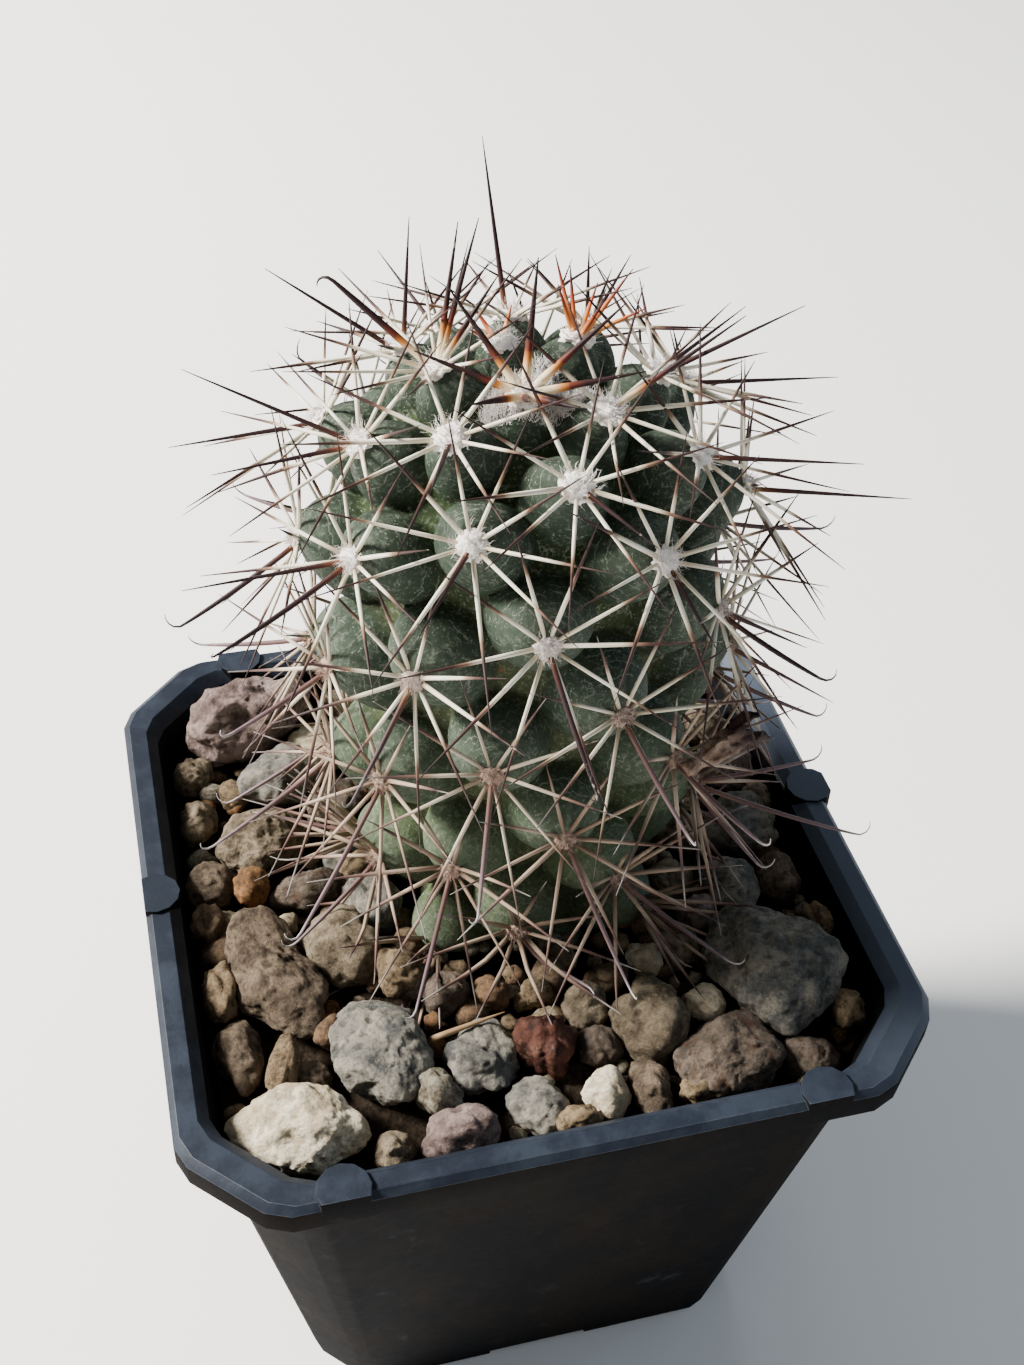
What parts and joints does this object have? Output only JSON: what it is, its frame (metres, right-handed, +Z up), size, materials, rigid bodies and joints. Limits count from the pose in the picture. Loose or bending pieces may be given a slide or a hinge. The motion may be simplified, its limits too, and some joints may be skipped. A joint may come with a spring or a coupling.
{
  "type": "potted round cactus",
  "caption": "Small round cactus with starry, hooked spines in a square tapered plastic nursery pot, topped with coarse mineral grit.",
  "frame": {"origin": "middle of the pot's underside", "axes": "+Z up; the pot's front side faces -Y, and the stem leans slightly towards it"},
  "size_m": [0.0708, 0.07, 0.1261],
  "materials": {
    "pot_plastic": "matte",
    "grit": "matte",
    "plant_skin": "matte",
    "dried_husk": "matte",
    "dried_fruit": "matte",
    "dried_spine": "matte",
    "cream_stone": "matte",
    "grey_stone": "matte",
    "tan_stone": "matte",
    "brown_stone": "matte",
    "rust_stone": "matte",
    "pink_stone": "matte"
  },
  "bodies": {
    "root": {"pot": "pot_plastic", "grit_bed": "grit", "cactus": "plant_skin", "withered_flower": "dried_husk", "fallen_spine": "dried_spine", "fallen_fruit": "dried_fruit", "cream_stone_01": "cream_stone", "grey_stone_02": "grey_stone", "grey_stone_03": "grey_stone", "tan_stone_04": "tan_stone", "rust_stone_05": "rust_stone", "grey_stone_06": "grey_stone", "pink_stone_07": "pink_stone", "grey_stone_08": "grey_stone", "tan_stone_09": "tan_stone", "brown_stone_10": "brown_stone", "tan_stone_11": "tan_stone", "brown_stone_12": "brown_stone", "grey_stone_13": "grey_stone", "pink_stone_14": "pink_stone", "cream_stone_15": "cream_stone", "brown_stone_16": "brown_stone", "tan_stone_17": "tan_stone", "tan_stone_18": "tan_stone", "rust_stone_19": "rust_stone", "tan_stone_20": "tan_stone", "tan_stone_21": "tan_stone", "brown_stone_22": "brown_stone", "rust_stone_23": "rust_stone", "grey_stone_24": "grey_stone", "grey_stone_25": "grey_stone", "brown_stone_26": "brown_stone", "pink_stone_27": "pink_stone", "pink_stone_28": "pink_stone", "tan_stone_29": "tan_stone", "grey_stone_30": "grey_stone", "tan_stone_31": "tan_stone", "brown_stone_32": "brown_stone", "cream_stone_33": "cream_stone", "rust_stone_34": "rust_stone", "tan_stone_35": "tan_stone", "grey_stone_36": "grey_stone", "brown_stone_37": "brown_stone", "rust_stone_38": "rust_stone", "tan_stone_39": "tan_stone", "rust_stone_40": "rust_stone", "rust_stone_41": "rust_stone", "cream_stone_42": "cream_stone", "rust_stone_43": "rust_stone", "rust_stone_44": "rust_stone", "brown_stone_45": "brown_stone", "cream_stone_46": "cream_stone", "cream_stone_47": "cream_stone", "grey_stone_48": "grey_stone", "tan_stone_49": "tan_stone", "tan_stone_50": "tan_stone", "brown_stone_51": "brown_stone", "grey_stone_52": "grey_stone", "brown_stone_53": "brown_stone"}
  },
  "joints": []
}
